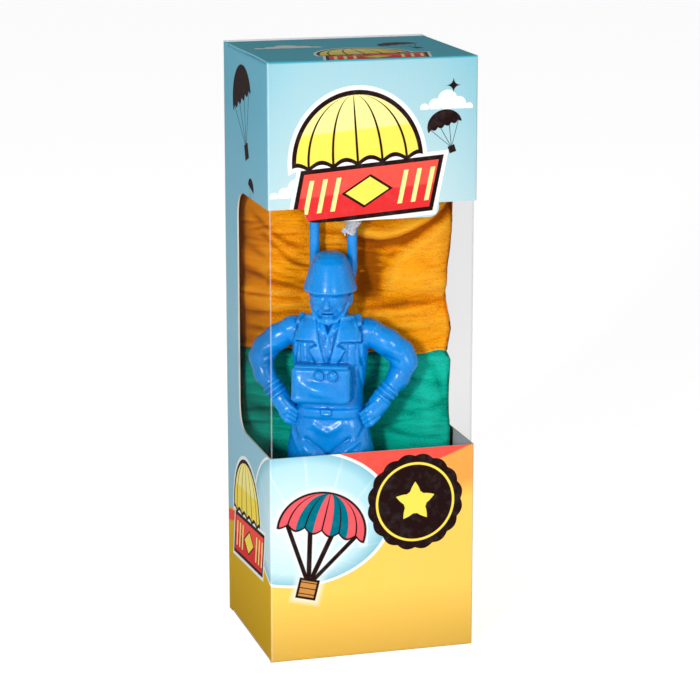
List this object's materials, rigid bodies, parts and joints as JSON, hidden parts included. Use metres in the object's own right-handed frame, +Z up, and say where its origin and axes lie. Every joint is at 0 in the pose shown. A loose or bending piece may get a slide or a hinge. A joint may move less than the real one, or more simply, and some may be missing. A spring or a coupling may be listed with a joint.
{
  "type": "toy parachute in window carton",
  "caption": "Toy parachutist figure with a folded two-colour cloth canopy and gathered lines, packed in a tall hinged-lid carton with a wrap-round clear window.",
  "frame": {"origin": "middle of the carton's base, on the surface that it stands on", "axes": "+Z up the carton, -Y out of the window's front, +X to the right seen from the front"},
  "size_m": [0.084, 0.072, 0.24],
  "materials": {
    "printed_board": "satin varnished print, white liner, tan core at the cut edges",
    "clear_film": "clear glossy film",
    "figure_plastic": "glossy moulded soft plastic",
    "orange_cloth": "thin woven cloth",
    "green_cloth": "thin woven cloth",
    "line_cord": "soft twisted thread"
  },
  "bodies": {
    "carton": {"carton_sleeve": "printed_board", "window_film": "clear_film", "parachutist_figure": "figure_plastic", "canopy_orange": "orange_cloth", "canopy_green": "green_cloth", "line_knot": "line_cord", "line_lead": "line_cord", "line_hank": "line_cord", "line_tail": "line_cord", "hank_tie": "line_cord"},
    "top_lid": {"top_lid": "printed_board"},
    "top_tuck": {"top_tuck_flap": "printed_board"},
    "top_dust_left": {"top_dust_flap_left": "printed_board"},
    "top_dust_right": {"top_dust_flap_right": "printed_board"},
    "bottom_panel": {"bottom_panel": "printed_board"},
    "bottom_tuck": {"bottom_tuck_flap": "printed_board"},
    "bottom_dust_left": {"bottom_dust_flap_left": "printed_board"},
    "bottom_dust_right": {"bottom_dust_flap_right": "printed_board"}
  },
  "joints": [
    {"name": "top_lid_hinge", "type": "hinge", "parent": "carton", "child": "top_lid", "pos_m": [0, -0.036, 0.24], "axis": [1, 0, 0], "range_deg": [0, 150]},
    {"name": "top_tuck_crease", "type": "hinge", "parent": "top_lid", "child": "top_tuck", "pos_m": [0, 0.0344, 0.24], "axis": [1, 0, 0], "range_deg": [0, 30]},
    {"name": "top_dust_left_fold", "type": "hinge", "parent": "carton", "child": "top_dust_left", "pos_m": [-0.042, 0, 0.2385], "axis": [0, -1, 0], "range_deg": [0, 90]},
    {"name": "top_dust_right_fold", "type": "hinge", "parent": "carton", "child": "top_dust_right", "pos_m": [0.042, 0, 0.2385], "axis": [0, 1, 0], "range_deg": [0, 90]},
    {"name": "bottom_panel_hinge", "type": "hinge", "parent": "carton", "child": "bottom_panel", "pos_m": [0, -0.036, 0], "axis": [-1, 0, 0], "range_deg": [0, 150]},
    {"name": "bottom_tuck_crease", "type": "hinge", "parent": "bottom_panel", "child": "bottom_tuck", "pos_m": [0, 0.0344, 0], "axis": [-1, 0, 0], "range_deg": [0, 30]},
    {"name": "bottom_dust_left_fold", "type": "hinge", "parent": "carton", "child": "bottom_dust_left", "pos_m": [-0.042, 0, 0.0015], "axis": [0, 1, 0], "range_deg": [0, 90]},
    {"name": "bottom_dust_right_fold", "type": "hinge", "parent": "carton", "child": "bottom_dust_right", "pos_m": [0.042, 0, 0.0015], "axis": [0, -1, 0], "range_deg": [0, 90]}
  ],
  "couplings": [
    {"joint": "top_tuck_crease", "follows": "top_lid_hinge", "ratio": 0.2},
    {"joint": "top_dust_left_fold", "follows": "top_lid_hinge", "ratio": 0.6},
    {"joint": "top_dust_right_fold", "follows": "top_lid_hinge", "ratio": 0.6},
    {"joint": "bottom_tuck_crease", "follows": "bottom_panel_hinge", "ratio": 0.2},
    {"joint": "bottom_dust_left_fold", "follows": "bottom_panel_hinge", "ratio": 0.6},
    {"joint": "bottom_dust_right_fold", "follows": "bottom_panel_hinge", "ratio": 0.6}
  ]
}
